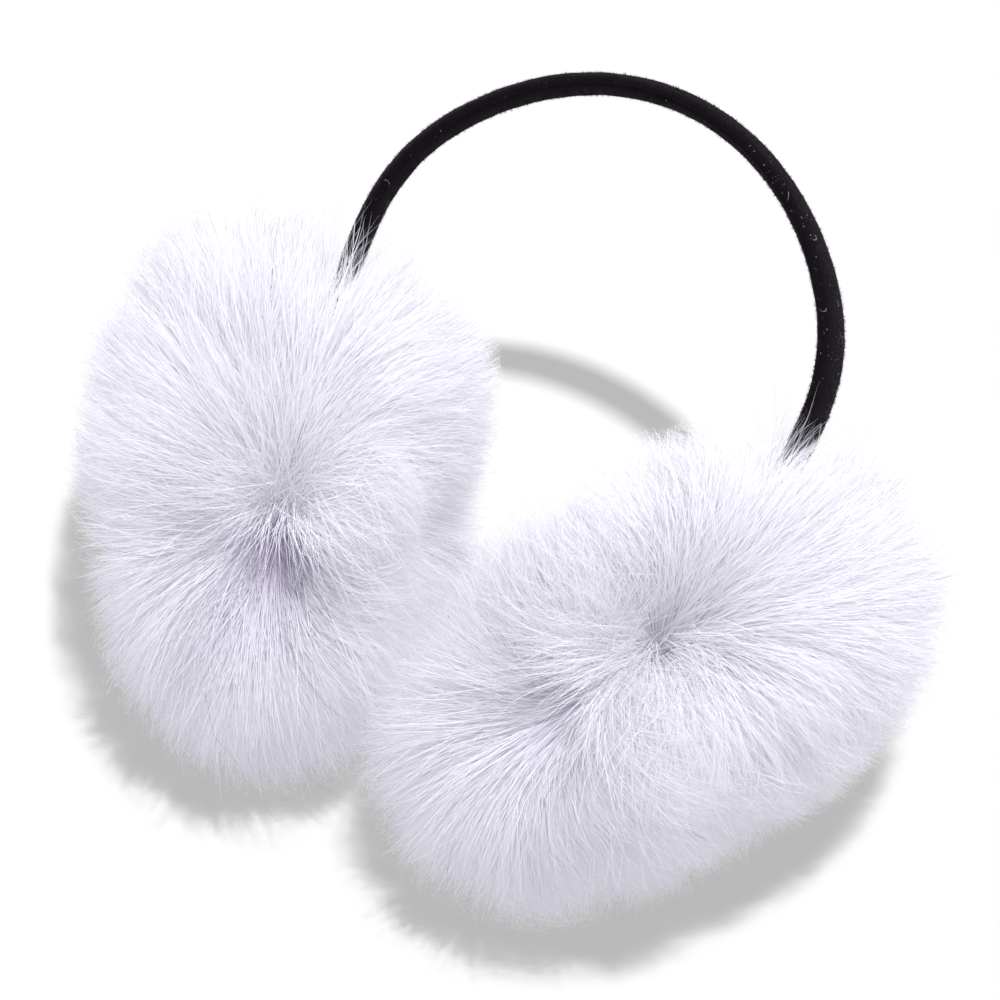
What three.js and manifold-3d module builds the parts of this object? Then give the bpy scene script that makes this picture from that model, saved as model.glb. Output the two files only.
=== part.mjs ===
// Fur earmuffs: two deep-fur ear pads on a springy headband in a soft velvet cover.
// They rest on their pads, with the arch of the band leaning back, clear of the table.
// Millimetres, +Z up. The origin is on the table, under the middle of the whole object.
import * as THREE from "three";
import { mergeVertices } from "three/addons/utils/BufferGeometryUtils.js";
import Module from "manifold-3d";

// How it rests
const ARCH_LEAN = 32; // degrees between the table and the plane of the arch
const PAD_HEIGHT = 46; // middle of each pad above the table: its underside is pressed flat
const CROWN_BACK = 96.2; // from the middle of the footprint back to the crown of the arch
const CROWN_ASIDE = -1.85; // the crown is a little off the middle, as the pads differ
const PADS_MEET = -4.8; // where the two pads' fur meets, sideways from the crown
const MEETING_GAP = 0.6; // clearance between the pads there

// Headband: a flat oval section along arcs, given from the crown down to one end
const BAND_WIDTH = 15; // across the band, from the front of the head to the back
const BAND_THICKNESS = 5.8;
const BAND_SIDES = 16;
const BAND_ARCS = [
  { place: "crown", length: 30, turn: 26.4 },
  { place: "shoulder", length: 40, turn: 29.4 },
  { place: "side", length: 30, turn: 31.7 },
  { place: "end inside the fur", length: 58, turn: 25 },
];
const ROUTE_STEP = 6; // distance between the points of the route
const BAND_STEPS = 72;
const SOCKET_GAP = 0.35; // clearance around a band end in its pad

// Ear pads: rounded ovals of fur, longest along the lean and flattest towards the ear
const PAD_DETAIL = 7;
const PAD_ROUNDNESS = 2.25; // 2 is an ellipsoid, and more is squarer
const PAD_MIDDLE_DROP = 143; // from the crown of the arch down to the middles of the pads
const PADS = [
  {
    name: "left_fur_pad",
    side: -1,
    out: 56.5,
    lean: 26,
    long: 79,
    wide: 51,
    deep: 61,
    // tufts stand proud of the oval, and partings and the hollow lie below it
    lumps: [
      { along: 0.55, across: -0.85, front: 0.1, rise: 8, spread: 0.4 },
      { along: -0.35, across: -0.9, front: 0.1, rise: -15, spread: 0.5 },
      { along: 0.8, across: 0.6, front: 0.1, rise: 4, spread: 0.4 },
      { along: -0.3, across: 0.1, front: 0.95, rise: -7, spread: 0.25 },
      { along: 0.05, across: 0, front: 1, rise: -3, spread: 0.25 },
      { along: -0.65, across: 0, front: 0.75, rise: -3, spread: 0.25 },
    ],
  },
  {
    name: "right_fur_pad",
    side: 1,
    out: 58.5,
    lean: 33,
    long: 83,
    wide: 51,
    deep: 61,
    lumps: [
      { along: 0.75, across: -0.65, front: 0.1, rise: 4, spread: 0.4 },
      { along: 0.1, across: 1, front: 0.1, rise: -4, spread: 0.5 },
      { along: 0.15, across: -0.25, front: 0.95, rise: -7, spread: 0.25 },
      { along: -0.2, across: -0.2, front: 0.95, rise: -4, spread: 0.25 },
      { along: -0.55, across: -0.15, front: 0.8, rise: -3, spread: 0.25 },
    ],
  },
];

const wasm = await Module();
wasm.setup();

// The arch's own directions: sideways, up the arch, and out of its front face
const leanAngle = THREE.MathUtils.degToRad(ARCH_LEAN);
const SIDEWAYS = new THREE.Vector3(1, 0, 0);
const UP_THE_ARCH = new THREE.Vector3(0, Math.cos(leanAngle), Math.sin(leanAngle));
const OUT_OF_THE_ARCH = new THREE.Vector3(0, -Math.sin(leanAngle), Math.cos(leanAngle));
const CROWN = new THREE.Vector3(
  CROWN_ASIDE,
  CROWN_BACK,
  PAD_HEIGHT + PAD_MIDDLE_DROP * Math.sin(leanAngle),
);

// A point of the arch's plane: out from its middle line, and up from its crown
function onArch(out, up) {
  return CROWN.clone().addScaledVector(SIDEWAYS, out).addScaledVector(UP_THE_ARCH, up);
}

// Points of the band's middle line from the crown to the right end, following its arcs
function halfRoute(extraLength) {
  const points = [];
  let out = 0;
  let up = 0;
  let heading = 0;
  for (const [index, arc] of BAND_ARCS.entries()) {
    const isLast = index === BAND_ARCS.length - 1;
    const length = arc.length + (isLast ? extraLength : 0);
    const steps = Math.round(length / ROUTE_STEP);
    const turn = THREE.MathUtils.degToRad(arc.turn) * (length / arc.length) / steps;
    for (let step = 0; step < steps; step += 1) {
      heading += turn / 2;
      out += Math.cos(heading) * length / steps;
      up -= Math.sin(heading) * length / steps;
      heading += turn / 2;
      points.push({ out, up });
    }
  }
  return points;
}

// The oval band along its whole route, grown by a clearance all round and at its ends
function bandGeometry(clearance) {
  const right = halfRoute(clearance);
  const left = right.map((point) => ({ out: -point.out, up: point.up })).reverse();
  const route = [...left, { out: 0, up: 0 }, ...right].map((point) => onArch(point.out, point.up));
  const section = new THREE.Shape();
  const halfThickness = BAND_THICKNESS / 2 + clearance;
  const halfWidth = BAND_WIDTH / 2 + clearance;
  for (let corner = 0; corner < BAND_SIDES; corner += 1) {
    const angle = (corner / BAND_SIDES) * 2 * Math.PI;
    const x = halfThickness * Math.cos(angle);
    const y = halfWidth * Math.sin(angle);
    if (corner === 0) section.moveTo(x, y);
    else section.lineTo(x, y);
  }
  section.closePath();
  return new THREE.ExtrudeGeometry(section, {
    steps: BAND_STEPS,
    bevelEnabled: false,
    extrudePath: new THREE.CatmullRomCurve3(route, false, "centripetal"),
  });
}

// How far the fur reaches from a pad's middle in one direction of the pad's own axes
function furReach(pad, direction) {
  const sum = Math.abs(direction.x / pad.long) ** PAD_ROUNDNESS
    + Math.abs(direction.y / pad.wide) ** PAD_ROUNDNESS
    + Math.abs(direction.z / pad.deep) ** PAD_ROUNDNESS;
  let reach = sum ** (-1 / PAD_ROUNDNESS);
  for (const lump of pad.lumps) {
    const towards = new THREE.Vector3(lump.along, lump.across, lump.front).normalize();
    const angle = direction.angleTo(towards);
    reach += lump.rise * Math.exp(-((angle / lump.spread) ** 2));
  }
  return reach;
}

// The outer form of a pad's fur, cut short where it meets the table and the other pad
function padGeometry(pad) {
  const tilt = THREE.MathUtils.degToRad(pad.lean) * pad.side;
  const along = SIDEWAYS.clone().multiplyScalar(Math.sin(tilt));
  along.addScaledVector(UP_THE_ARCH, Math.cos(tilt));
  const across = SIDEWAYS.clone().multiplyScalar(Math.cos(tilt));
  across.addScaledVector(UP_THE_ARCH, -Math.sin(tilt)).multiplyScalar(pad.side);
  const middle = onArch(pad.side * pad.out, -PAD_MIDDLE_DROP);
  const roomSideways = pad.side * (pad.side * pad.out - PADS_MEET) - MEETING_GAP / 2;

  const geometry = new THREE.IcosahedronGeometry(1, PAD_DETAIL);
  const position = geometry.getAttribute("position");
  const outward = new THREE.Vector3();
  const direction = new THREE.Vector3();
  for (let index = 0; index < position.count; index += 1) {
    outward.fromBufferAttribute(position, index).normalize();
    direction.set(outward.dot(along), outward.dot(across), outward.dot(OUT_OF_THE_ARCH));
    let reach = furReach(pad, direction);
    if (outward.z < 0) reach = Math.min(reach, middle.z / -outward.z);
    if (outward.x * pad.side < 0) reach = Math.min(reach, roomSideways / Math.abs(outward.x));
    const point = middle.clone().addScaledVector(outward, reach);
    position.setXYZ(index, point.x, point.y, point.z);
  }
  return geometry;
}

// A closed mesh as a solid that can be cut
function solidOf(geometry) {
  const bare = geometry.clone();
  bare.deleteAttribute("normal");
  bare.deleteAttribute("uv");
  const merged = mergeVertices(bare, 1e-4);
  return new wasm.Manifold(new wasm.Mesh({
    numProp: 3,
    vertProperties: new Float32Array(merged.getAttribute("position").array),
    triVerts: new Uint32Array(merged.index.array),
  }));
}

function geometryOf(solid) {
  const mesh = solid.getMesh();
  const geometry = new THREE.BufferGeometry();
  geometry.setAttribute("position", new THREE.BufferAttribute(mesh.vertProperties, 3));
  geometry.setIndex(new THREE.BufferAttribute(mesh.triVerts, 1));
  geometry.computeVertexNormals();
  return geometry;
}

const velvet = new THREE.MeshStandardMaterial({ color: 0x1f1a22, roughness: 0.95, metalness: 0 });
const fur = new THREE.MeshStandardMaterial({ color: 0xe9e7f3, roughness: 1, metalness: 0 });

const earmuffs = new THREE.Group();

const headband = new THREE.Mesh(bandGeometry(0), velvet);
headband.name = "headband";
earmuffs.add(headband);

const socket = solidOf(bandGeometry(SOCKET_GAP));
for (const pad of PADS) {
  const mesh = new THREE.Mesh(geometryOf(solidOf(padGeometry(pad)).subtract(socket)), fur);
  mesh.name = pad.name;
  earmuffs.add(mesh);
}

export default earmuffs;
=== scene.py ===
# %% [markdown]
# # Fur earmuffs
# Two ear pads of long, pale fur hang on the ends of a springy headband with a black velvet cover.
# This lesson dresses a finished frame: the frame says how big every piece is and where it is, and
# Blender adds what a hand would feel, which is the pelt, the hair and the pile of the velvet.
# The frame comes first, and nothing here moves or resizes it.

# %% The frame
import math

import bpy
import numpy as np
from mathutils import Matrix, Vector, kdtree
from mathutils.bvhtree import BVHTree


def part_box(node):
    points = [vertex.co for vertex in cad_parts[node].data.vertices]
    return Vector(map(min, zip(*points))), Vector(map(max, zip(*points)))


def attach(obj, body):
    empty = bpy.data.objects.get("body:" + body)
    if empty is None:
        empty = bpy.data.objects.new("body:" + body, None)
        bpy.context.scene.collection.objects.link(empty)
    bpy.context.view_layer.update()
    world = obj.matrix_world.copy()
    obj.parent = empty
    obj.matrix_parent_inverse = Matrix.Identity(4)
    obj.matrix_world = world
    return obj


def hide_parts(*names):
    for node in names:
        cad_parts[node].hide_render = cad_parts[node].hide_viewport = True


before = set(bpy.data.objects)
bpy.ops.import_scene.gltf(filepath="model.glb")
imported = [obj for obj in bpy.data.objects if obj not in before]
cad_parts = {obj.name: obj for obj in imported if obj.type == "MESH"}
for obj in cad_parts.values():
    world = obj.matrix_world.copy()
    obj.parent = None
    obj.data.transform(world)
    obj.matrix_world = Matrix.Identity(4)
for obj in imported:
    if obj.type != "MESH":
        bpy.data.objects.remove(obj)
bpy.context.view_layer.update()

MM = 0.001
print("nodes:", sorted(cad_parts))


# %% [markdown]
# ## Camera
# The earmuffs rest on a pale table with their arch leaning back. The camera looks steeply down at
# them, from a little to the right of the front. A long lens keeps both pads the same size.

# %% Camera
CAMERA_AZIMUTH = math.radians(29.2)
CAMERA_ELEVATION = math.radians(59.6)
CAMERA_AIM = Vector((-5.2, -0.6, 51.2)) * MM
CAMERA_DISTANCE = 1.1
LENS = 144

towards_camera = Vector((
    math.sin(CAMERA_AZIMUTH) * math.cos(CAMERA_ELEVATION),
    -math.cos(CAMERA_AZIMUTH) * math.cos(CAMERA_ELEVATION),
    math.sin(CAMERA_ELEVATION),
))
bpy.ops.object.camera_add(location=CAMERA_AIM + towards_camera * CAMERA_DISTANCE)
camera = bpy.context.object
camera.name = "camera"
camera.rotation_euler = towards_camera.to_track_quat("Z", "Y").to_euler()
camera.data.lens = LENS
camera.data.clip_start = 0.01
bpy.context.scene.camera = camera
print("camera at", [round(v, 3) for v in camera.location])


# %% [markdown]
# ## Small helpers
# An operator acts on everything that is selected, so each step starts with nothing selected.

# %% Helpers for operators
def select_only(obj):
    """Nothing but obj is selected, and obj is active."""
    if bpy.context.mode != "OBJECT":
        bpy.ops.object.mode_set(mode="OBJECT")
    bpy.ops.object.select_all(action="DESELECT")
    obj.select_set(True)
    bpy.context.view_layer.objects.active = obj


def keep_modifier(obj, kind, **settings):
    """A modifier is added with its settings, and applied at once."""
    select_only(obj)
    modifier = obj.modifiers.new(kind.lower(), kind)
    for name, value in settings.items():
        setattr(modifier, name, value)
    bpy.ops.object.modifier_apply(modifier=modifier.name)


def bake_place(obj):
    """The object's place goes into its mesh, so it sits at the origin, unturned and unscaled."""
    select_only(obj)
    bpy.ops.object.transform_apply(location=True, rotation=True, scale=True)


def points_of(obj):
    """All vertices of a mesh as an array."""
    flat = np.zeros(len(obj.data.vertices) * 3)
    obj.data.vertices.foreach_get("co", flat)
    return flat.reshape(-1, 3)


def put_points(obj, points):
    """The vertices of a mesh are moved to new places."""
    obj.data.vertices.foreach_set("co", np.asarray(points, np.float32).ravel())
    obj.data.update()


def triangles_of(obj):
    """How many triangles a piece has."""
    return sum(len(face.vertices) - 2 for face in obj.data.polygons)


def unit(vectors):
    """Vectors of an array, each made one long."""
    return vectors / np.maximum(np.linalg.norm(vectors, axis=-1, keepdims=True), 1e-12)


def smooth_step(low, high, value):
    """0 below low, 1 above high, and a soft slope between them."""
    share = np.clip((value - low) / (high - low), 0, 1)
    return share * share * (3 - 2 * share)


# %% [markdown]
# ## Shader maths in plain Python
# A finish is a sum of small patterns. Writing each sum as an expression keeps it readable, so this
# class wraps a socket, and its operators add the Math nodes.

# %% A wrapped socket, and a material that is built from them
class Value:
    """A number that varies over a surface: the output of a node."""

    def __init__(self, finish, socket):
        self.finish = finish
        self.socket = socket

    def _math(self, operation, first, second=None, clamp=False):
        values = {0: first} if second is None else {0: first, 1: second}
        return self.finish.node("ShaderNodeMath", {"operation": operation, "use_clamp": clamp}, values)

    def __add__(self, other):
        return self._math("ADD", self, other)

    def __mul__(self, other):
        return self._math("MULTIPLY", self, other)

    def __sub__(self, other):
        return self._math("SUBTRACT", self, other)

    def __rsub__(self, other):
        return self._math("SUBTRACT", other, self)

    def __pow__(self, other):
        return self._math("POWER", self, other)

    __radd__ = __add__
    __rmul__ = __mul__

    def clamped(self):
        return self._math("ADD", self, 0.0, clamp=True)


class Finish:
    """A material whose nodes are added one by one."""

    def __init__(self, name):
        self.material = bpy.data.materials.new(name)
        self.material.use_nodes = True
        self.tree = self.material.node_tree
        self.shader = self.tree.nodes["Principled BSDF"]
        self.output = self.tree.nodes["Material Output"]

    def node(self, kind, settings=None, values=None, output=0):
        """One node: its settings are set first, then its sockets get values or links."""
        node = self.tree.nodes.new(kind)
        for name, value in (settings or {}).items():
            setattr(node, name, value)
        for name, value in (values or {}).items():
            self.feed(node.inputs[name], value)
        return Value(self, node.outputs[output])

    def feed(self, socket, value):
        if isinstance(value, Value):
            self.tree.links.new(value.socket, socket)
        else:
            socket.default_value = value

    def blend(self, share, first, second):
        """A colour between two others."""
        return self.node(
            "ShaderNodeMix",
            {"data_type": "RGBA", "clamp_factor": True},
            {0: share, 6: first, 7: second},
            output=2,
        )

    def noise(self, vector, scale, detail=2.0, roughness=0.5):
        return self.node(
            "ShaderNodeTexNoise",
            values={"Vector": vector, "Scale": scale, "Detail": detail, "Roughness": roughness},
        )

    def object_place(self):
        return self.node("ShaderNodeTexCoord", output=3)

    def bump(self, height, strength, distance):
        return self.node(
            "ShaderNodeBump", values={"Height": height, "Strength": strength, "Distance": distance},
        )

    def set(self, **values):
        """Sockets of the main shader, by name, with _ for a space."""
        for name, value in values.items():
            self.feed(self.shader.inputs[name.replace("_", " ")], value)
        return self


# %% [markdown]
# ## Directions of the frame
# The arch of the headband leans back, so its own directions are sideways, up the arch and out of
# its front. Each pad leans inwards at the bottom, and has directions of its own: along its
# longest way, across towards the outside of the head, and out of its front.

# %% Directions
ARCH_LEAN = math.radians(32)
SIDEWAYS = np.array([1.0, 0.0, 0.0])
UP_THE_ARCH = np.array([0.0, math.cos(ARCH_LEAN), math.sin(ARCH_LEAN)])
OUT_OF_THE_ARCH = np.array([0.0, -math.sin(ARCH_LEAN), math.cos(ARCH_LEAN)])


# %% [markdown]
# ## The line of the headband
# The band is a flat oval along four arcs on each side of its crown. Towards the pads it is
# twisted a little, so its outer side faces a bit to the front. One class keeps this line, because
# the velvet cover, its pile and the hair beside it all have to agree on where the band is.

# %% The headband as a line with an oval section
BAND_WIDTH = 15 * MM
BAND_THICKNESS = 5.8 * MM
BAND_ARCS = [
    {"length": 30 * MM, "turn": math.radians(26.4)},
    {"length": 40 * MM, "turn": math.radians(29.4)},
    {"length": 30 * MM, "turn": math.radians(31.7)},
    {"length": 58 * MM, "turn": math.radians(25)},
]
TWIST = {"most": math.radians(8), "from": 30 * MM, "to": 85 * MM}


class BandLine:
    """Where the band runs. Distances from its crown are positive to the right."""

    def __init__(self):
        corners = points_of(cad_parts["headband"])
        up, out = corners @ UP_THE_ARCH, corners @ OUT_OF_THE_ARCH
        self.crown = (
            SIDEWAYS * (corners[:, 0].min() + corners[:, 0].max()) / 2
            + UP_THE_ARCH * (up.max() - BAND_THICKNESS / 2)
            + OUT_OF_THE_ARCH * (out.min() + out.max()) / 2
        )
        rows = [(0.0, 0.0, 0.0, 0.0)]
        for arc in BAND_ARCS:
            pieces = round(arc["length"] / MM)
            for _ in range(pieces):
                distance, sideways, down, heading = rows[-1]
                middle = heading + arc["turn"] / pieces / 2
                rows.append((
                    distance + MM,
                    sideways + math.cos(middle) * MM,
                    down + math.sin(middle) * MM,
                    heading + arc["turn"] / pieces,
                ))
        self.distance, self.sideways, self.down, self.heading = np.array(rows).T
        self.length = self.distance[-1]

    def section(self, distance):
        """The middle of the section, and its thin and its wide direction."""
        side = np.where(distance < 0, -1.0, 1.0)[:, None]
        far = np.abs(distance)
        sideways, down, heading = (
            np.interp(far, self.distance, row)[:, None]
            for row in (self.sideways, self.down, self.heading)
        )
        middle = self.crown + SIDEWAYS * side * sideways - UP_THE_ARCH * down
        outward = SIDEWAYS * side * np.sin(heading) + UP_THE_ARCH * np.cos(heading)
        turn = (TWIST["most"] * smooth_step(TWIST["from"], TWIST["to"], far))[:, None]
        thin = outward * np.cos(turn) + OUT_OF_THE_ARCH * np.sin(turn)
        wide = OUT_OF_THE_ARCH * np.cos(turn) - outward * np.sin(turn)
        return middle, thin, wide


band_line = BandLine()
print("crown of the band at", (band_line.crown / MM).round(1), "mm")


# %% [markdown]
# ## The two pads
# The pads are alike but not the same: their fur parts in different places, and the left one has
# a deep hollow where it parts. A parting is a line between two directions from a pad's middle,
# given along, across and out of the front of that pad. Hollows and tufts are given the same way.
# The hair in and round a hollow gets painted shade, a darker colour that stands in for its depth.

# %% What is known about each pad
PAD_DROP = 143 * MM
PADS = [
    {
        "name": "left_fur_pad",
        "side": -1,
        "out": 56.5 * MM,
        "lean": math.radians(26),
        "seed": 11,
        "parting": [(0.009, -0.31, 0.95), (-0.334, -0.174, 0.926)],
        # A hollow's depth sinks the fur there; its shade is painted shade, a darker colour on the hair in
        # and round it.
        "hollows": [
            {"at": (-0.38, -0.22, 0.90), "depth": 25 * MM, "spread": 0.18, "painted_shade": 1.0},
            {"at": (-0.22, -0.04, 0.97), "depth": 5.5 * MM, "spread": 0.12, "painted_shade": 0.25},
            {"at": (-0.56, 0.08, 0.82), "depth": 5.5 * MM, "spread": 0.14, "painted_shade": 0.35},
        ],
        "tufts": [
            {"at": (0.42, -0.88, 0.20), "rise": 8 * MM, "spread": 0.34},
            {"at": (0.85, 0.20, 0.30), "rise": 7 * MM, "spread": 0.36},
        ],
        "band_shows_to": 137 * MM,
    },
    {
        "name": "right_fur_pad",
        "side": 1,
        "out": 58.5 * MM,
        "lean": math.radians(33),
        "seed": 23,
        "parting": [(0.386, -0.077, 0.919), (-0.35, -0.05, 0.93)],
        # A hollow's depth sinks the fur there; its shade is painted shade, a darker colour on the hair in
        # and round it.
        "hollows": [
            {"at": (0.32, -0.11, 0.94), "depth": 5.8 * MM, "spread": 0.10, "painted_shade": 0.2},
            {"at": (-0.40, -0.03, 0.92), "depth": 14 * MM, "spread": 0.14, "painted_shade": 0.5},
        ],
        "tufts": [
            {"at": (0.80, -0.60, 0.20), "rise": 3 * MM, "spread": 0.30},
            {"at": (0.90, 0.25, 0.20), "rise": 4 * MM, "spread": 0.35},
        ],
        "band_shows_to": 131 * MM,
    },
]


def pad_axes(pad):
    """The pad's own directions: along, across and out of its front."""
    tilt = pad["lean"] * pad["side"]
    along = SIDEWAYS * math.sin(tilt) + UP_THE_ARCH * math.cos(tilt)
    across = (SIDEWAYS * math.cos(tilt) - UP_THE_ARCH * math.sin(tilt)) * pad["side"]
    return np.array([along, across, OUT_OF_THE_ARCH])


# %% [markdown]
# ## How far the fur reaches
# The frame's pad is the outer form of the fur. Rays sent in towards its middle from all round
# say how far the fur reaches that way, and a table of these reaches, read with a soft blend
# between its entries, gives every strand a smooth form to follow.

# %% The form of a pad, as reaches from its middle
REACH_ROWS = 90
REACH_COLUMNS = 180
RAY_START = 0.3
SMOOTHINGS = 4


class FurForm:
    """The outer form of one pad's fur."""

    def __init__(self, pad):
        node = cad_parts[pad["name"]]
        corners = points_of(node)
        faces = [tuple(face.vertices) for face in node.data.polygons]
        tree = BVHTree.FromPolygons([Vector(corner) for corner in corners], faces)
        self.middle = band_line.crown + SIDEWAYS * pad["side"] * pad["out"] - UP_THE_ARCH * PAD_DROP
        self.axes = pad_axes(pad)
        self.table = np.zeros((REACH_ROWS, REACH_COLUMNS))
        for row in range(REACH_ROWS):
            polar = math.pi * (row + 0.5) / REACH_ROWS
            for column in range(REACH_COLUMNS):
                turn = 2 * math.pi * column / REACH_COLUMNS
                around, out = math.cos(turn), math.sin(turn)
                local = (math.cos(polar), math.sin(polar) * around, math.sin(polar) * out)
                direction = Vector(np.array(local) @ self.axes)
                start = Vector(self.middle) + direction * RAY_START
                hit = tree.ray_cast(start, -direction)[0]
                self.table[row, column] = (hit - Vector(self.middle)).length
        for _ in range(SMOOTHINGS):
            padded = np.vstack([self.table[:1], self.table, self.table[-1:]])
            around = (np.roll(padded, 1, 1) + 2 * padded + np.roll(padded, -1, 1)) / 4
            self.table = (around[:-2] + 2 * around[1:-1] + around[2:]) / 4

    def reach(self, directions):
        """How far the fur reaches in each direction."""
        local = directions @ self.axes.T
        row = np.arccos(np.clip(local[..., 0], -1, 1)) / math.pi * REACH_ROWS - 0.5
        column = np.arctan2(local[..., 2], local[..., 1]) / (2 * math.pi) * REACH_COLUMNS
        row = np.clip(row, 0, REACH_ROWS - 1.001)
        low_row = np.floor(row).astype(int)
        low_column = np.floor(column).astype(int)
        row_share = row - low_row
        column_share = column - low_column
        total = 0
        for step_row, share_row in ((0, 1 - row_share), (1, row_share)):
            for step_column, share_column in ((0, 1 - column_share), (1, column_share)):
                found = self.table[low_row + step_row, (low_column + step_column) % REACH_COLUMNS]
                total = total + found * share_row * share_column
        return total


for pad in PADS:
    pad["form"] = FurForm(pad)
    middle = pad["form"].middle / MM
    print(pad["name"], "middle", middle.round(1), "reach", (pad["form"].table.min() / MM).round(1),
          "to", (pad["form"].table.max() / MM).round(1), "mm")


# %% [markdown]
# ## The lie of the fur
# Fur doesn't stand straight up. From the parting in front it is combed away on all sides, lies
# over at about sixty degrees, and stands out straight only behind the pad's edge, where the fur
# from the front meets the fur from the back. Round a deep hollow it is combed away from it. A
# strand that lies over needs less depth below the outer form, so the depth of the roots follows
# from the same rule.

# %% The lie of the fur over a pad
HAIR_LENGTH = 38 * MM
MOST_LEAN = 0.90
TURNING = 1.3
LEAN_POWER = 0.7
LEAST_LEAN = {"hollow": 0.40, "elsewhere": 0.88, "spread": 0.24}
PARTING_WIDTH = 0.42
DEEP_HOLLOW = 5.5 * MM
PARTING_DIP = {"depth": 1.0 * MM, "spread": 0.22}
# How far a hollow's painted shade spreads, as a share of the hollow's own spread.
PAINTED_SHADE_SPREAD = 0.95
WAVES = 6
WAVES_TOTAL = 2.4


def drift(seed, directions, finest):
    """A smooth random number for each direction, around 0: a few waves that cross each other."""
    rng = np.random.default_rng(seed)
    total = np.zeros(len(directions))
    for _ in range(WAVES):
        axis = unit(rng.normal(size=3))
        total += np.sin(directions @ axis * rng.uniform(0.4, 1) * finest + rng.uniform(0, 2 * math.pi))
    return total / WAVES_TOTAL


def lie_of_fur(pad, directions):
    """For roots in these directions: the way they are combed, how far they run, how deep they
    start, how much lower their tips are, and how far they are from the parting."""
    form = pad["form"]
    start, end = (unit(np.array(place)) @ form.axes for place in pad["parting"])
    line = end - start
    share = np.clip((directions - start) @ line / (line @ line), 0, 1)
    nearest = unit(start + share[:, None] * line)
    closeness = (nearest * directions).sum(1)
    comb = unit(directions * closeness[:, None] - nearest)
    from_front = np.arccos(np.clip(closeness, -1, 1))
    back = -unit((start + end) / 2)
    from_back = np.arccos(np.clip(directions @ back, -1, 1))
    swing = np.cos(math.pi * from_front / (from_front + TURNING * from_back))
    dip = PARTING_DIP["depth"] * np.exp(-(from_front / PARTING_DIP["spread"]) ** 2)
    nearest_hollow = np.full(len(directions), math.pi)
    opened = np.zeros((len(directions), 3))
    for hollow in pad["hollows"]:
        at = unit(np.array(hollow["at"])) @ form.axes
        from_hollow = np.arccos(np.clip(directions @ at, -1, 1))
        dip = dip + hollow["depth"] * np.exp(-(from_hollow / hollow["spread"]) ** 2)
        if hollow["depth"] > DEEP_HOLLOW:
            nearest_hollow = np.minimum(nearest_hollow, from_hollow)
            away = unit(directions - at * (directions @ at)[:, None])
            opened += away * np.exp(-(from_hollow / LEAST_LEAN["spread"]) ** 2)[:, None]
    for tuft in pad["tufts"]:
        at = unit(np.array(tuft["at"])) @ form.axes
        from_tuft = np.arccos(np.clip(directions @ at, -1, 1))
        dip = dip - tuft["rise"] * np.exp(-(from_tuft / tuft["spread"]) ** 2)
    in_hollow = np.exp(-(nearest_hollow / LEAST_LEAN["spread"]) ** 2)
    comb = unit(comb * (1 - in_hollow)[:, None] + opened)
    least = LEAST_LEAN["elsewhere"] + (LEAST_LEAN["hollow"] - LEAST_LEAN["elsewhere"]) * in_hollow
    opening = smooth_step(0, PARTING_WIDTH, np.minimum(from_front, from_back))
    lean = MOST_LEAN * np.abs(swing) ** LEAN_POWER * (least + (1 - least) * opening)
    run = HAIR_LENGTH * lean * np.sign(swing)
    depth = HAIR_LENGTH * np.sqrt(1 - lean ** 2)
    return comb, run, depth, dip, from_front, in_hollow


def painted_shade_of_fur(pad, directions):
    """How much painted shade the hair gets: it is coloured darker round the hollows, most at their bottom.
    """
    painted_shade = np.zeros(len(directions))
    for hollow in pad["hollows"]:
        at = unit(np.array(hollow["at"])) @ pad["form"].axes
        from_hollow = np.arccos(np.clip(directions @ at, -1, 1))
        painted_shade += hollow["painted_shade"] * np.exp(-(from_hollow / (PAINTED_SHADE_SPREAD * hollow["spread"])) ** 2)
    return np.clip(painted_shade, 0, 1)


# %% [markdown]
# ## The pelt under the hair
# Under the hair is a pelt, which stops light from showing through the pad. It starts as an
# icosphere, because that has no poles, and each of its points is drawn in to just above the roots
# of the hair. A little cloudy displacement keeps it from looking machined where the hair parts.

# %% The pelts
PELT_ABOVE_ROOTS = 5 * MM
LEAST_PELT = 9 * MM
PELT_ABOVE_TABLE = 2 * MM
PELT_CLOUDS = {"size": 12 * MM, "height": 2.5 * MM}


def make_pelt(pad):
    form = pad["form"]
    bpy.ops.object.select_all(action="DESELECT")
    bpy.ops.mesh.primitive_ico_sphere_add(subdivisions=6, radius=1, location=(0, 0, 0))
    pelt = bpy.context.object
    pelt.name = pad["name"] + "_pelt"
    directions = unit(points_of(pelt))
    _, _, depth, dip, _, _ = lie_of_fur(pad, directions)
    reach = np.maximum(form.reach(directions) - depth - dip + PELT_ABOVE_ROOTS, LEAST_PELT)
    places = form.middle + directions * reach[:, None]
    places[:, 2] = np.maximum(places[:, 2], PELT_ABOVE_TABLE)
    put_points(pelt, places)
    bpy.ops.object.mode_set(mode="EDIT")
    bpy.ops.mesh.select_all(action="SELECT")
    bpy.ops.mesh.vertices_smooth(factor=0.5, repeat=8)
    bpy.ops.mesh.normals_make_consistent(inside=False)
    bpy.ops.object.mode_set(mode="OBJECT")
    clouds = bpy.data.textures.new("pelt clouds", "CLOUDS")
    clouds.noise_scale = PELT_CLOUDS["size"]
    keep_modifier(
        pelt, "DISPLACE", texture=clouds, strength=PELT_CLOUDS["height"], mid_level=0.7,
        texture_coords="LOCAL",
    )
    bpy.ops.object.shade_smooth()
    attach(pelt, "root")
    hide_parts(pad["name"])
    return pelt


for pad in PADS:
    pad["pelt"] = make_pelt(pad)
    print(pad["pelt"].name, triangles_of(pad["pelt"]), "triangles")


# %% [markdown]
# ## Strands
# A strand is a narrow ribbon that follows a curve from its root to its tip. Strands gather in
# tufts, and tufts gather in locks, which is what makes fur look like fur and not like a brush. So
# locks are laid first, then tufts are drawn towards their lock, and then strands towards their
# tuft. All of it is done on whole arrays, because there are tens of thousands of strands.

# %% Curves of strands
GATHER = {"most": 1.3, "spread": 0.30}
LONGEST_REACH = 85 * MM
PRESSED = {"below": 2 * MM, "share": 0.35}


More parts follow.
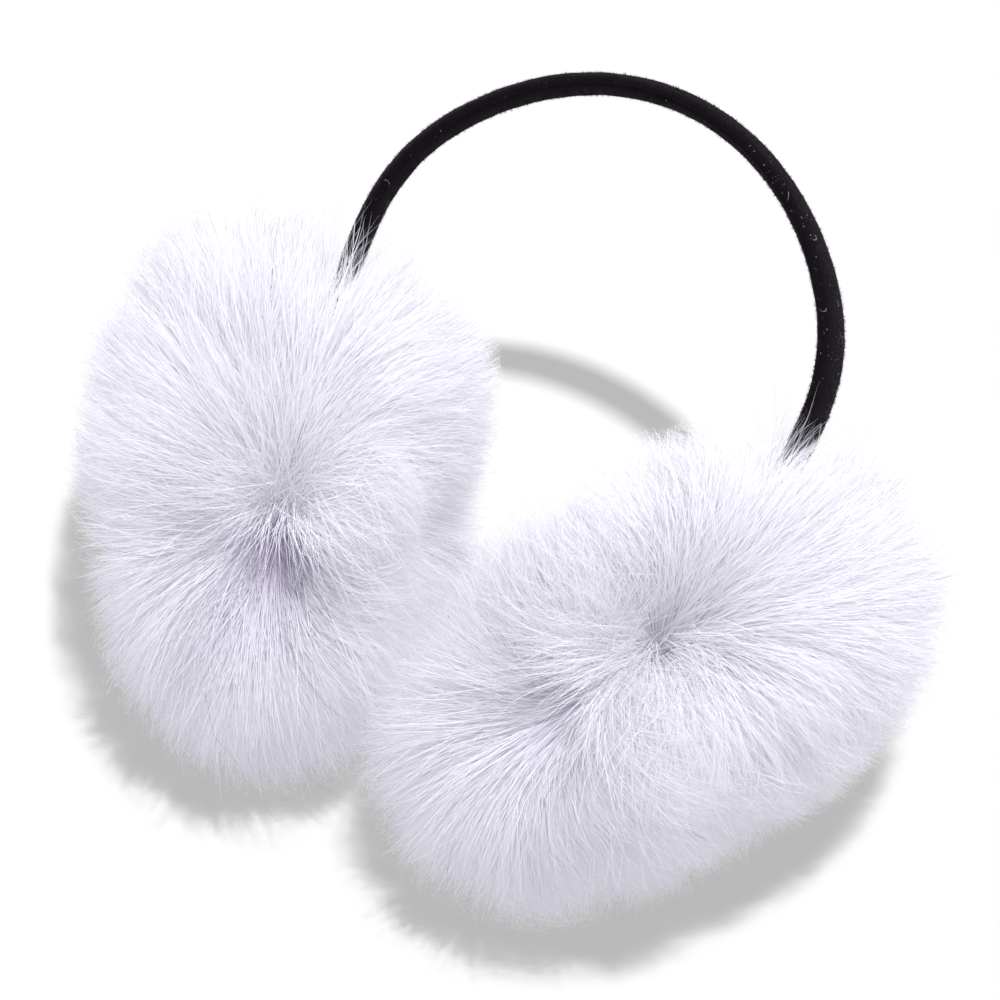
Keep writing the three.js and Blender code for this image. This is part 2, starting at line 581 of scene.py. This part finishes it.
def random_directions(pad, count, rng):
    """Directions spread over the pad's surface: fewer where it is pressed on the table, and more
    beside the parting, where the hair has to cover more than its share."""
    form = pad["form"]
    found = np.zeros((0, 3))
    while len(found) < count:
        tries = unit(rng.normal(size=(count * 3, 3)))
        reach = form.reach(tries)
        keep = (reach / LONGEST_REACH) ** 2
        below = form.middle[2] + tries[:, 2] * reach
        keep = keep * np.where(below < PRESSED["below"], PRESSED["share"], 1.0)
        _, _, _, _, from_front, in_hollow = lie_of_fur(pad, tries)
        gather = GATHER["most"] * np.exp(-(from_front / GATHER["spread"]) ** 2) * (1 - in_hollow)
        keep = keep * (1 + gather) / (1 + GATHER["most"])
        found = np.vstack([found, tries[rng.random(len(tries)) < keep]])
    return found[:count]


CROSSING = {"most": 1.1, "spread": 0.24}
WANDER = {"turn": 0.42, "finest": 7.0, "rise": 1.3 * MM, "rise_finest": 20.0}


def lay_curves(pad, roots, steps, sway, tip_change, bend, rise, rng):
    """Curves from the roots to the tips: an array of strand, step and place. The larger rise is,
    the sooner a strand comes up, and the longer it lies along the surface."""
    form = pad["form"]
    comb, run, depth, dip, from_front, in_hollow = lie_of_fur(pad, roots)
    crossing = CROSSING["most"] * np.exp(-(from_front / CROSSING["spread"]) ** 2) * (1 - 0.8 * in_hollow)
    sway = sway + crossing * rng.normal(size=len(roots))
    sway = sway + WANDER["turn"] * drift(pad["seed"] + 1, roots, WANDER["finest"])
    tip_change = tip_change + WANDER["rise"] * drift(pad["seed"] + 2, roots, WANDER["rise_finest"])
    side = np.cross(roots, comb)
    comb = comb * np.cos(sway)[:, None] + side * np.sin(sway)[:, None]
    side = np.cross(roots, comb)
    share = np.linspace(0, 1, steps)
    turn = (run / form.reach(roots))[:, None] * share[None, :] ** 1.35
    way = roots[:, None, :] * np.cos(turn)[..., None] + comb[:, None, :] * np.sin(turn)[..., None]
    deepest = np.minimum(depth, form.reach(roots) - LEAST_PELT)
    height = -deepest[:, None] * (1 - share[None, :]) ** rise + (tip_change - dip)[:, None] * share[None, :]
    place = form.middle + way * (form.reach(way) + height)[..., None]
    place = place + side[:, None, :] * (bend[:, None] * share[None, :] ** 2)[..., None]
    return place


def nearest_of(points, others):
    """For each point, the number of the nearest of the others."""
    tree = kdtree.KDTree(len(others))
    for number, other in enumerate(others):
        tree.insert(other, number)
    tree.balance()
    return np.array([tree.find(point)[1] for point in points])


LOCKS = {"count": 240, "sway": 0.22, "tip": 3.4 * MM, "bend": 3 * MM}
TUFTS = {"count": 2600, "sway": 0.16, "tip": 2.4 * MM, "bend": 2 * MM, "pull": 0.6}


def lay_tufts(pad, steps, rise):
    """The middle curves of the tufts, already drawn towards their locks."""
    rng = np.random.default_rng(pad["seed"])
    count = LOCKS["count"]
    lock_roots = random_directions(pad, count, rng)
    lock_sway = rng.normal(0, LOCKS["sway"], count)
    lock_tip = rng.normal(0, LOCKS["tip"], count)
    lock_bend = rng.normal(0, LOCKS["bend"], count)
    locks = lay_curves(pad, lock_roots, steps, lock_sway, lock_tip, lock_bend, rise, rng)
    count = TUFTS["count"]
    roots = random_directions(pad, count, rng)
    lock_of = nearest_of(roots, lock_roots)
    sway = lock_sway[lock_of] + rng.normal(0, TUFTS["sway"], count)
    tip = lock_tip[lock_of] + rng.normal(0, TUFTS["tip"], count)
    bend = rng.normal(0, TUFTS["bend"], count)
    curves = lay_curves(pad, roots, steps, sway, tip, bend, rise, rng)
    pull = TUFTS["pull"] * np.linspace(0, 1, steps) ** 1.5
    curves = curves + (locks[lock_of] - curves) * pull[None, :, None]
    return {"roots": roots, "sway": sway, "tip": tip, "curves": curves}


# %% [markdown]
# ## From curves to a mesh
# Every ribbon has the same number of corners, so the whole coat is written into one mesh in a
# single stroke. Each ribbon tapers to its tip, faces mostly outwards, and gets a strip of the
# piece's own UV map. Its root is at the bottom of the map and its tip at the top, and the paler
# the strand and the less painted shade it carries, the further to the right its strip is.

# %% Ribbons
UV_COLUMNS = 256
UV_NAME = "OFBake"


def ribbon_mesh(name, curves, width, taper, outward, rng, roll=0.9, painted_shade=0.0, dark=0):
    """One mesh of tapering ribbons along the curves. A ribbon with painted shade is further to the
    left of the UV map, and the first few may be dark, in its first column."""
    count, steps, _ = curves.shape
    share = np.linspace(0, 1, steps)
    along = unit(np.gradient(curves, axis=1))
    flat = unit(np.cross(along, outward[:, None, :]))
    up = np.cross(flat, along)
    angle = rng.uniform(-roll, roll, count)[:, None, None]
    flat = flat * np.cos(angle) + up * np.sin(angle)
    half = 0.5 * width[:, None] * (1 - share[None, :-1] ** taper)
    left = curves[:, :-1] + flat[:, :-1] * half[..., None]
    right = curves[:, :-1] - flat[:, :-1] * half[..., None]
    corners = np.concatenate([np.stack([left, right], 2).reshape(count, -1, 3), curves[:, -1:]], 1)
    per_ribbon = 2 * (steps - 1) + 1
    first = (np.arange(count) * per_ribbon)[:, None]
    quads = steps - 2
    pattern = []
    for step in range(quads):
        pattern += [2 * step, 2 * step + 1, 2 * step + 3, 2 * step + 2]
    pattern += [2 * quads, 2 * quads + 1, 2 * quads + 2]
    loops = (first + np.array(pattern)[None, :]).ravel()
    sizes = np.tile(np.array([4] * quads + [3]), count)
    starts = np.concatenate([[0], np.cumsum(sizes)[:-1]])
    mesh = bpy.data.meshes.new(name)
    mesh.vertices.add(count * per_ribbon)
    mesh.vertices.foreach_set("co", corners.astype(np.float32).ravel())
    mesh.loops.add(len(loops))
    mesh.loops.foreach_set("vertex_index", loops.astype(np.int32))
    mesh.polygons.add(len(sizes))
    mesh.polygons.foreach_set("loop_start", starts.astype(np.int32))
    mesh.polygons.foreach_set("use_smooth", np.ones(len(sizes), bool))
    # A strand's paleness is its own random tone, taken down by its painted shade.
    paleness_after_painted_shade = (1 - painted_shade) * rng.uniform(0.90, 1, count)
    column = (np.round(1 + paleness_after_painted_shade * (UV_COLUMNS - 2)) + 0.5) / UV_COLUMNS
    column[:dark] = 0.5 / UV_COLUMNS
    across = np.tile([-0.25, 0.25], steps - 1).tolist() + [0.0]
    u = column[:, None] + np.array(across)[None, :] / UV_COLUMNS
    v = np.repeat(share[:-1], 2).tolist() + [1.0]
    uv = np.stack([u, np.tile(v, (count, 1))], -1).reshape(-1, 2)
    layer = mesh.uv_layers.new(name=UV_NAME)
    layer.data.foreach_set("uv", uv[loops].astype(np.float32).ravel())
    mesh.update()
    mesh.validate()
    obj = bpy.data.objects.new(name, mesh)
    bpy.context.scene.collection.objects.link(obj)
    return obj


# %% [markdown]
# ## Fur beside the headband
# Where the band goes into a pad, the fur is parted: most strands end before they cover the band,
# and only a few thin ones cross it. Points of a strand that fall inside the band are pushed out,
# though a strand can still cut a corner of it between two points. The outer form sets a limit,
# which stray hair passes by a few millimetres.

# %% Strands at the band and at the limits
CROSSING_SHARE = 0.02
TEST_STEPS = 10
BAND_SKIN = 0.5 * MM
STRAY_LIMIT = 9 * MM
TABLE_GAP = 0.3 * MM
NEAR_BAND = 38 * MM
PARTED = {"half": 3.2 * MM, "slope": 0.2, "widest": 9 * MM, "over": 32 * MM}


def shorten(curves, keep):
    """Each curve is cut to a share of its length."""
    steps = curves.shape[1]
    place = np.linspace(0, 1, steps)[None, :] * keep[:, None] * (steps - 1)
    low = np.minimum(place.astype(int), steps - 2)
    part = (place - low)[..., None]
    row = np.arange(len(curves))[:, None]
    return curves[row, low] * (1 - part) + curves[row, low + 1] * part


def beside_band(pad, points):
    """For points near the band: the nearest distance along it, and the offset along its section."""
    distance = pad["side"] * np.arange(60 * MM, band_line.length, 2 * MM)
    middle, thin, wide = band_line.section(distance)
    nearest = np.zeros(len(points), int)
    for start in range(0, len(points), 50000):
        part = points[start:start + 50000]
        gaps = ((part[:, None, :] - middle[None, :, :]) ** 2).sum(2)
        nearest[start:start + 50000] = gaps.argmin(1)
    offset = points - middle[nearest]
    return (
        np.abs(distance[nearest]), middle[nearest], thin[nearest], wide[nearest],
        (offset * thin[nearest]).sum(1), (offset * wide[nearest]).sum(1),
    )


def finer(curves, steps):
    """The same curves with more steps."""
    place = np.linspace(0, curves.shape[1] - 1, steps)
    low = np.minimum(place.astype(int), curves.shape[1] - 2)
    part = (place - low)[None, :, None]
    return curves[:, low] * (1 - part) + curves[:, low + 1] * part


def part_at_band(pad, curves, rng):
    """Strands end before they cover the band, or go round it."""
    entry = band_line.section(pad["side"] * np.array([pad["band_shows_to"]]))[0]
    near = (np.linalg.norm(curves - entry, axis=2) < NEAR_BAND).any(1)
    picked = curves[near]
    count, steps, _ = picked.shape
    distance, _, _, _, thin_way, wide_way = beside_band(pad, finer(picked, TEST_STEPS).reshape(-1, 3))
    before = pad["band_shows_to"] - distance
    half = np.minimum(PARTED["half"] + PARTED["slope"] * np.maximum(before, 0), PARTED["widest"])
    half = half * np.repeat(rng.uniform(0.6, 1.5, count), TEST_STEPS)
    covers = (before > 0) & (np.abs(thin_way) < half) & (np.abs(wide_way) < PARTED["over"])
    covers = covers.reshape(count, TEST_STEPS)
    keep = np.clip((covers.argmax(1) - rng.random(count)) / (TEST_STEPS - 1), 0.15, 1)
    keep = np.where(covers.any(1) & (rng.random(count) > CROSSING_SHARE), keep, 1)
    picked = shorten(picked, keep)
    flat = picked.reshape(-1, 3)
    _, middle, thin, wide, thin_way, wide_way = beside_band(pad, flat)
    size = np.hypot(thin_way / (BAND_THICKNESS / 2 + BAND_SKIN), wide_way / (BAND_WIDTH / 2 + BAND_SKIN))
    along = flat - middle - thin * thin_way[:, None] - wide * wide_way[:, None]
    inside = (size < 1) & (np.linalg.norm(along, axis=1) < 2 * MM)
    grow = np.where(inside, 1 / np.maximum(size, 0.05), 1)[:, None]
    pushed = middle + along + (thin * thin_way[:, None] + wide * wide_way[:, None]) * grow
    curves[near] = np.where(inside[:, None], pushed, flat).reshape(count, steps, 3)
    return curves


def within_limits(form, curves, rng):
    """No strand reaches far past the outer form, and none goes under the table."""
    arm = curves - form.middle
    length = np.linalg.norm(arm, axis=-1, keepdims=True)
    way = arm / np.maximum(length, 1e-9)
    limit = form.reach(way)[..., None] + STRAY_LIMIT * rng.uniform(0.5, 1, curves.shape[:2])[..., None]
    curves = form.middle + way * np.minimum(length, limit)
    lowest = TABLE_GAP + rng.random(curves.shape[:2]) * 1.5 * MM
    curves[..., 2] = np.maximum(curves[..., 2], lowest)
    return curves


# %% [markdown]
# ## Single hairs that show
# Two kinds of hair are seen one by one: fine pale ones that lie over the black ends of the band,
# and a few long dark ones on top of the pads. They are laid by themselves, and then join the coat.

# %% Fine hairs over the ends of the headband
WISP_COUNT = 300
WISPS = {
    "from": -12, "to": 8, "angle": 0.8, "above": (0.4, 2.0), "turn": 0.28, "curl": 0.5,
    "lift": (0.05, 0.35), "length": (14, 32), "width": (0.14, 0.22),
}


def wisps_at_band(pad, steps, rng):
    """Long fine hairs that lie over the end of the band and cross each other."""
    distance = pad["band_shows_to"] + rng.uniform(WISPS["from"], WISPS["to"], WISP_COUNT) * MM
    angle = rng.normal(math.pi / 2, WISPS["angle"], WISP_COUNT)
    middle, thin, wide = band_line.section(pad["side"] * distance)
    ahead = band_line.section(pad["side"] * (distance - MM))[0]
    cos, sin = np.cos(angle)[:, None], np.sin(angle)[:, None]
    out = unit(thin * cos / BAND_THICKNESS + wide * sin / BAND_WIDTH)
    root = middle + thin * cos * BAND_THICKNESS / 2 + wide * sin * BAND_WIDTH / 2
    root = root + out * (rng.uniform(*WISPS["above"], WISP_COUNT) * MM)[:, None]
    way = unit(ahead - middle)
    aside = np.cross(way, out)
    turn = rng.normal(0, WISPS["turn"], WISP_COUNT)
    curl = turn - rng.normal(0, WISPS["curl"], WISP_COUNT)
    lift = rng.uniform(*WISPS["lift"], WISP_COUNT)
    length = rng.uniform(*WISPS["length"], WISP_COUNT) * MM
    share = np.linspace(0, 1, steps)
    angle = turn[:, None] + (curl - turn)[:, None] * share[None, :]
    step = (way[:, None, :] * np.cos(angle)[..., None] + aside[:, None, :] * np.sin(angle)[..., None]
            + out[:, None, :] * lift[:, None, None])
    path = np.cumsum(step, axis=1) - step[:, :1]
    return root[:, None, :] + path * (length / (steps - 1))[:, None, None], out


# %% A few long dark hairs
DARK_COUNT = 34
DARK_HAIRS = {"sway": 0.35, "bend": 3 * MM, "above": (1, 5), "rise": 3.2, "width": (0.20, 0.28)}


def dark_hairs(pad, steps, rng):
    """Long dark hairs that lie on top of the pale ones."""
    roots = random_directions(pad, DARK_COUNT, rng)
    sway = rng.normal(0, DARK_HAIRS["sway"], DARK_COUNT)
    bend = rng.normal(0, DARK_HAIRS["bend"], DARK_COUNT)
    tips = rng.uniform(*DARK_HAIRS["above"], DARK_COUNT) * MM
    curves = lay_curves(pad, roots, steps, sway, tips, bend, DARK_HAIRS["rise"], rng)
    return within_limits(pad["form"], curves, rng), roots


# %% [markdown]
# ## Two coats
# Fur has a dense, short underfur and a longer, sparser coat of guard hair over it. Both are laid
# by the same function, and a table says how they differ. A few strands of each stray from their
# tuft, and these make the outline soft.

# %% The two coats of each pad
COATS = [
    {"name": "underfur", "count": 64000, "steps": 3, "width": 0.24 * MM, "shorter": 5.5 * MM,
     "clump": (0.0, 0.35), "tip": 2.6 * MM, "stray": 0.03, "sway": 0.40, "taper": 2.0, "rise": 1.3},
    {"name": "guard_hair", "count": 38500, "steps": 4, "width": 0.22 * MM, "shorter": -2 * MM,
     "clump": (0.0, 0.65), "tip": 3.6 * MM, "stray": 0.18, "sway": 0.13, "taper": 1.6, "rise": 2.1},
]
STRAYS = {"sway": 0.45, "longer": 4 * MM, "clump": 0.1}
STRAND_BEND = 1.6 * MM


def lay_coat(pad, coat, rng):
    """The curves of one coat, and the directions of their roots."""
    count, steps = coat["count"], coat["steps"]
    tufts = lay_tufts(pad, steps, coat["rise"])
    roots = random_directions(pad, count, rng)
    tuft_of = nearest_of(roots, tufts["roots"])
    stray = rng.random(count) < coat["stray"]
    sway = tufts["sway"][tuft_of] + rng.normal(0, np.where(stray, STRAYS["sway"], coat["sway"]), count)
    tip = tufts["tip"][tuft_of] + rng.normal(0, coat["tip"], count) - coat["shorter"]
    tip = tip + np.where(stray, np.abs(rng.normal(0, STRAYS["longer"], count)), 0)
    bend = rng.normal(0, STRAND_BEND, count)
    curves = lay_curves(pad, roots, steps, sway, tip, bend, coat["rise"], rng)
    pull = rng.uniform(*coat["clump"], count) * np.where(stray, STRAYS["clump"], 1.0)
    share = np.linspace(0, 1, steps)
    pull = pull[:, None] * share[None, :] ** 1.3
    curves = curves + (tufts["curves"][tuft_of] - curves) * pull[..., None]
    curves = part_at_band(pad, curves, rng)
    return within_limits(pad["form"], curves, rng), roots


def make_coat(pad, coat, number):
    rng = np.random.default_rng(pad["seed"] * 100 + number)
    curves, outward = lay_coat(pad, coat, rng)
    width = coat["width"] * rng.uniform(0.7, 1.25, coat["count"])
    # Painted shade for each strand, darkest at the bottom of the hollows.
    painted_shade = painted_shade_of_fur(pad, outward)
    dark_count = 0
    if coat["name"] == "guard_hair":
        dark_count = DARK_COUNT
        wisps, wisp_outward = wisps_at_band(pad, coat["steps"], rng)
        dark, dark_outward = dark_hairs(pad, coat["steps"], rng)
        curves = np.concatenate([dark, curves, wisps])
        width = np.concatenate([
            rng.uniform(*DARK_HAIRS["width"], DARK_COUNT) * MM, width,
            rng.uniform(*WISPS["width"], WISP_COUNT) * MM,
        ])
        outward = np.concatenate([dark_outward, outward, wisp_outward])
        painted_shade = np.concatenate([np.zeros(DARK_COUNT), painted_shade, np.zeros(WISP_COUNT)])
    obj = ribbon_mesh(
        f"{pad['name']}_{coat['name']}", curves, width, coat["taper"], outward, rng, roll=0.5,
        painted_shade=painted_shade, dark=dark_count,
    )
    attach(obj, "root")
    return obj


for pad in PADS:
    pad["coats"] = [make_coat(pad, coat, number) for number, coat in enumerate(COATS)]
    for obj in pad["coats"]:
        print(obj.name, triangles_of(obj), "triangles")


# %% [markdown]
# ## Finish of the hair
# Pale fur is nearly white, and no two strands are quite alike. Each strand is coloured darker and
# cooler towards its root, which is painted shade for the depth of the fur, and the hair round a
# hollow gets more painted shade. Hair passes light on as much as it throws it back, so about half
# of the finish is translucent. That is what makes fur glow instead of looking like paper.

# %% Hair and pelt finishes
def hair_finish():
    finish = Finish("pale fur")
    place = finish.node("ShaderNodeUVMap", {"uv_map": UV_NAME})
    paleness_after_painted_shade = finish.node("ShaderNodeSeparateXYZ", values={0: place})
    height = finish.node("ShaderNodeSeparateXYZ", values={0: place}, output=1)
    # How far the colour is from the painted shade of the root: it rises quickly along the strand, and a
    # hollow's painted shade takes it down.
    out_of_painted_shade = (height ** 0.16 - (1.0 - paleness_after_painted_shade)).clamped()
    first_column = {0: paleness_after_painted_shade, 1: 1.0 / UV_COLUMNS}
    dark_hair = finish.node("ShaderNodeMath", {"operation": "LESS_THAN"}, first_column)
    # The dark violet root colour is painted shade for the depth of the fur; the pale one is the hair's own
    # colour.
    pale = finish.blend(out_of_painted_shade, (0.28, 0.24, 0.38, 1), (0.912, 0.904, 0.966, 1))
    finish.set(Base_Color=finish.blend(dark_hair, pale, (0.20, 0.17, 0.20, 1)), Roughness=0.55)
    finish.shader.inputs["Specular IOR Level"].default_value = 0.25
    glow = finish.node("ShaderNodeBsdfTranslucent", values={"Color": (0.920, 0.912, 0.975, 1)})
    share = out_of_painted_shade * 0.57 * (1.0 - dark_hair)
    surface = Value(finish, finish.shader.outputs[0])
    both = finish.node("ShaderNodeMixShader", values={0: share, 1: surface, 2: glow})
    finish.feed(finish.output.inputs[0], both)
    return finish.material


def pelt_finish():
    finish = Finish("pelt")
    place = finish.object_place()
    patches = finish.noise(place, 90.0, 3.0)
    # The pelt's grey lavender, darker than the hair, is partly its own colour and partly painted shade for
    # the depth under the hair.
    colour = finish.blend(patches, (0.52, 0.50, 0.60, 1), (0.66, 0.64, 0.74, 1))
    fine = finish.noise(place, 900.0, 2.0)
    finish.set(Base_Color=colour, Roughness=0.9, Normal=finish.bump(fine, 0.6, 0.6 * MM))
    return finish.material


hair = hair_finish()
pelt_skin = pelt_finish()
for pad in PADS:
    pad["pelt"].data.materials.append(pelt_skin)
    for obj in pad["coats"]:
        obj.data.materials.append(hair)


# %% [markdown]
# ## The velvet headband
# The cover is a flat-oval tube along four arcs. Spinning one ring about the middle of each arc
# gives exactly that, with even faces. Only the right half is spun, and the left is its mirror
# image. The twist and the ribs come last, because a spun ring can't have them.

# %% The cover of the headband
BAND_SIDES = 40
BAND_FACE = 1.6 * MM
RIB_COUNT = 9
RIB_DEPTH = 0.12 * MM
PLUSH = {"size": 6 * MM, "height": 0.35 * MM}


def spin_half_band():
    """The right half of the cover, flat on the ground, with its crown at the origin."""
    bpy.ops.object.select_all(action="DESELECT")
    bpy.ops.mesh.primitive_circle_add(vertices=BAND_SIDES, radius=1, rotation=(0, math.pi / 2, 0))
    cover = bpy.context.object
    cover.name = "headband_cover"
    bake_place(cover)
    cover.scale = (1, BAND_THICKNESS / 2, BAND_WIDTH / 2)
    bake_place(cover)
    bpy.ops.object.mode_set(mode="EDIT")
    bpy.ops.mesh.select_all(action="SELECT")
    place, heading = np.zeros(2), 0.0
    for arc in BAND_ARCS:
        radius = arc["length"] / arc["turn"]
        centre = place - radius * np.array([math.sin(heading), math.cos(heading)])
        bpy.ops.mesh.spin(
            steps=round(arc["length"] / BAND_FACE), angle=arc["turn"],
            center=(centre[0], centre[1], 0), axis=(0, 0, 1),
        )
        heading += arc["turn"]
        place = centre + radius * np.array([math.sin(heading), math.cos(heading)])
    bpy.ops.mesh.edge_face_add()
    bpy.ops.mesh.poke()
    bpy.ops.object.mode_set(mode="OBJECT")
    return cover


def twist_and_rib(cover):
    """Each point is put back on the section of its place along the band, twisted and ribbed."""
    points = points_of(cover)
    middle_line = np.stack([band_line.sideways, -band_line.down], 1)
    half = np.stack([np.abs(points[:, 0]), points[:, 1]], 1)
    nearest = ((half[:, None, :] - middle_line[None]) ** 2).sum(2).argmin(1)
    distance = band_line.distance[nearest] * np.where(points[:, 0] < 0, -1, 1)
    outward = np.stack([np.sin(band_line.heading[nearest]), np.cos(band_line.heading[nearest])], 1)
    thin_way = ((half - middle_line[nearest]) * outward).sum(1)
    wide_way = points[:, 2]
    angle = np.arctan2(wide_way / BAND_WIDTH, thin_way / BAND_THICKNESS)
    size = np.hypot(2 * thin_way / BAND_THICKNESS, 2 * wide_way / BAND_WIDTH)
    rib = 1 + RIB_DEPTH / (BAND_THICKNESS / 2) * np.cos(2 * RIB_COUNT * angle)
    middle, thin, wide = band_line.section(distance)
    thin_way = size * BAND_THICKNESS / 2 * np.cos(angle) * rib
    wide_way = size * BAND_WIDTH / 2 * np.sin(angle) * rib
    put_points(cover, middle + thin * thin_way[:, None] + wide * wide_way[:, None])


cover = spin_half_band()
keep_modifier(cover, "MIRROR", use_axis=(True, False, False), use_clip=True, merge_threshold=0.05 * MM)
twist_and_rib(cover)
bpy.ops.object.mode_set(mode="EDIT")
bpy.ops.mesh.select_all(action="SELECT")
bpy.ops.mesh.remove_doubles(threshold=0.02 * MM)
bpy.ops.mesh.normals_make_consistent(inside=False)
bpy.ops.object.mode_set(mode="OBJECT")
plush = bpy.data.textures.new("uneven plush", "CLOUDS")
plush.noise_scale = PLUSH["size"]
keep_modifier(
    cover, "DISPLACE", texture=plush, strength=PLUSH["height"], mid_level=0.5, texture_coords="LOCAL",
)
bpy.ops.object.shade_smooth()
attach(cover, "root")
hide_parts("headband")
low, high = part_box("headband")
print("frame's band ", (np.array(low) / MM).round(1), (np.array(high) / MM).round(1))
print("velvet cover ", (points_of(cover).min(0) / MM).round(1), (points_of(cover).max(0) / MM).round(1),
      triangles_of(cover), "triangles")


# %% [markdown]
# ## The pile of the velvet
# Velvet is short upright pile. On its edge the pile catches light and looks softer than a bare
# surface could, so the pile is real: thousands of short ribbons that lean all ways.

# %% Pile
PILE_COUNT = 17000
PILE_LENGTH = 0.75 * MM
PILE_SHOWS_TO = 136 * MM
PILE_LEAN = 0.45


def on_cover(distance, angle):
    """Places on the velvet and the way out of it."""
    middle, thin, wide = band_line.section(distance)
    cos, sin = np.cos(angle)[:, None], np.sin(angle)[:, None]
    place = middle + thin * cos * BAND_THICKNESS / 2 + wide * sin * BAND_WIDTH / 2
    return place, unit(thin * cos / BAND_THICKNESS + wide * sin / BAND_WIDTH)


def make_pile():
    rng = np.random.default_rng(5)
    distance = rng.uniform(-PILE_SHOWS_TO, PILE_SHOWS_TO, PILE_COUNT)
    place, out = on_cover(distance, rng.uniform(0, 2 * math.pi, PILE_COUNT))
    lean = unit(out + rng.normal(0, PILE_LEAN, (PILE_COUNT, 3)))
    length = PILE_LENGTH * rng.uniform(0.5, 1.2, PILE_COUNT)
    share = np.array([-0.3, 0.4, 1.0])
    curves = place[:, None, :] + lean[:, None, :] * (length[:, None] * share[None, :])[..., None]
    width = rng.uniform(0.10, 0.2, PILE_COUNT) * MM
    return ribbon_mesh("headband_pile", curves, width, 2.0, out, rng, roll=3.1)


pile = make_pile()
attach(pile, "root")
print(pile.name, triangles_of(pile), "triangles")


# %% [markdown]
# ## Lint
# Black velvet beside pale fur is never clean. Specks and a few short curled fibres lie in the
# pile, most of them on the right half of the band.

# %% Lint
LINT_COUNT = 240
LINT_LENGTHS = {"mm": [0.2, 0.35, 0.9, 3.5], "shares": [0.5, 0.35, 0.1, 0.05]}
LINT_ABOVE = 0.85 * MM


def make_lint():
    rng = np.random.default_rng(17)
    distance = np.where(rng.random(LINT_COUNT) < 0.6, rng.uniform(25, 110, LINT_COUNT),
                        rng.uniform(-110, 110, LINT_COUNT)) * MM
    place, out = on_cover(distance, rng.uniform(-0.3, 2.2, LINT_COUNT))
    way = unit(np.cross(out, rng.normal(size=(LINT_COUNT, 3))))
    turn = np.cross(out, way)
    length = rng.choice(LINT_LENGTHS["mm"], LINT_COUNT, p=LINT_LENGTHS["shares"]) * MM
    curl = rng.uniform(-4, 4, LINT_COUNT)
    share = np.linspace(0, 1, 7)
    angle = curl[:, None] * share[None, :]
    step = (way[:, None, :] * np.cos(angle)[..., None] + turn[:, None, :] * np.sin(angle)[..., None])
    path = np.cumsum(step, axis=1) * (length / 7)[:, None, None]
    curves = place[:, None, :] + out[:, None, :] * LINT_ABOVE + path
    width = rng.uniform(0.04, 0.07, LINT_COUNT) * MM
    return ribbon_mesh("headband_lint", curves, width, 3.0, out, rng, roll=0.3)


lint = make_lint()
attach(lint, "root")
print(lint.name, triangles_of(lint), "triangles")


# %% [markdown]
# ## Finish of the velvet
# Black velvet takes in nearly all light that meets it straight on, and gives a little back along
# its edges. That is sheen, with a violet tinge here. The colour drifts a little from place to
# place, as where a finger has stroked the pile.

# %% Velvet and lint finishes
def velvet_finish():
    finish = Finish("black velvet")
    place = finish.object_place()
    stroked = finish.noise(place, 140.0, 3.0)
    fine = finish.noise(place, 2600.0, 2.0, 0.7)
    colour = finish.blend(stroked, (0.0032, 0.0020, 0.0036, 1), (0.0075, 0.0050, 0.0080, 1))
    finish.set(Base_Color=colour, Roughness=0.95, Normal=finish.bump(fine, 0.8, 0.3 * MM))
    finish.shader.inputs["Specular IOR Level"].default_value = 0.06
    finish.shader.inputs["Sheen Weight"].default_value = 0.03
    finish.shader.inputs["Sheen Roughness"].default_value = 0.5
    finish.shader.inputs["Sheen Tint"].default_value = (0.75, 0.65, 0.85, 1)
    return finish.material


def lint_finish():
    finish = Finish("lint")
    dust = finish.noise(finish.object_place(), 300.0)
    finish.set(Base_Color=finish.blend(dust, (0.15, 0.14, 0.16, 1), (0.60, 0.58, 0.62, 1)), Roughness=0.8)
    return finish.material


velvet = velvet_finish()
cover.data.materials.append(velvet)
pile.data.materials.append(velvet)
lint.data.materials.append(lint_finish())


# %% [markdown]
# ## Floor and light
# A pale matt floor, one fairly hard light from above and behind for the shadows, a very soft one
# from the left, and plain bright surroundings. Light that bounces between thousands of pale hairs
# is slow to trace, so after its first bounce it is taken from the surroundings.

# %% Floor
bpy.ops.object.select_all(action="DESELECT")
bpy.ops.mesh.primitive_plane_add(size=8, location=(0, 0, 0))
floor = bpy.context.object
floor.name = "floor"
floor_finish = Finish("pale floor")
floor_finish.set(Base_Color=(0.50, 0.50, 0.50, 1), Roughness=0.9)
floor_finish.shader.inputs["Specular IOR Level"].default_value = 0.0
floor.data.materials.append(floor_finish.material)


# %% Lights
def add_sun(name, comes_from, energy, angle):
    """A sun lamp that shines from a direction. The larger its angle, the softer its shadows."""
    bpy.ops.object.light_add(type="SUN", location=Vector(comes_from) * 2)
    sun = bpy.context.object
    sun.name = name
    sun.rotation_euler = Vector(comes_from).to_track_quat("Z", "Y").to_euler()
    sun.data.energy = energy
    sun.data.angle = math.radians(angle)


add_sun("key light", (0.10, 0.185, 1.0), 3.3, 3.2)
add_sun("fill light", (-0.6, 0.7, 0.7), 0.7, 70)

world = bpy.data.worlds.new("studio")
bpy.context.scene.world = world
world.use_nodes = True
surroundings = world.node_tree.nodes["Background"]
surroundings.inputs["Color"].default_value = (1.0, 1.0, 1.0, 1)
surroundings.inputs["Strength"].default_value = 0.86

scene = bpy.context.scene
scene.view_settings.view_transform = "Standard"
scene.cycles.max_bounces = 8
scene.cycles.diffuse_bounces = 5
scene.cycles.transmission_bounces = 6
scene.cycles.use_fast_gi = True
scene.cycles.fast_gi_method = "REPLACE"
scene.cycles.ao_bounces_render = 1
world.light_settings.distance = 0.001
world.light_settings.ao_factor = 1.0
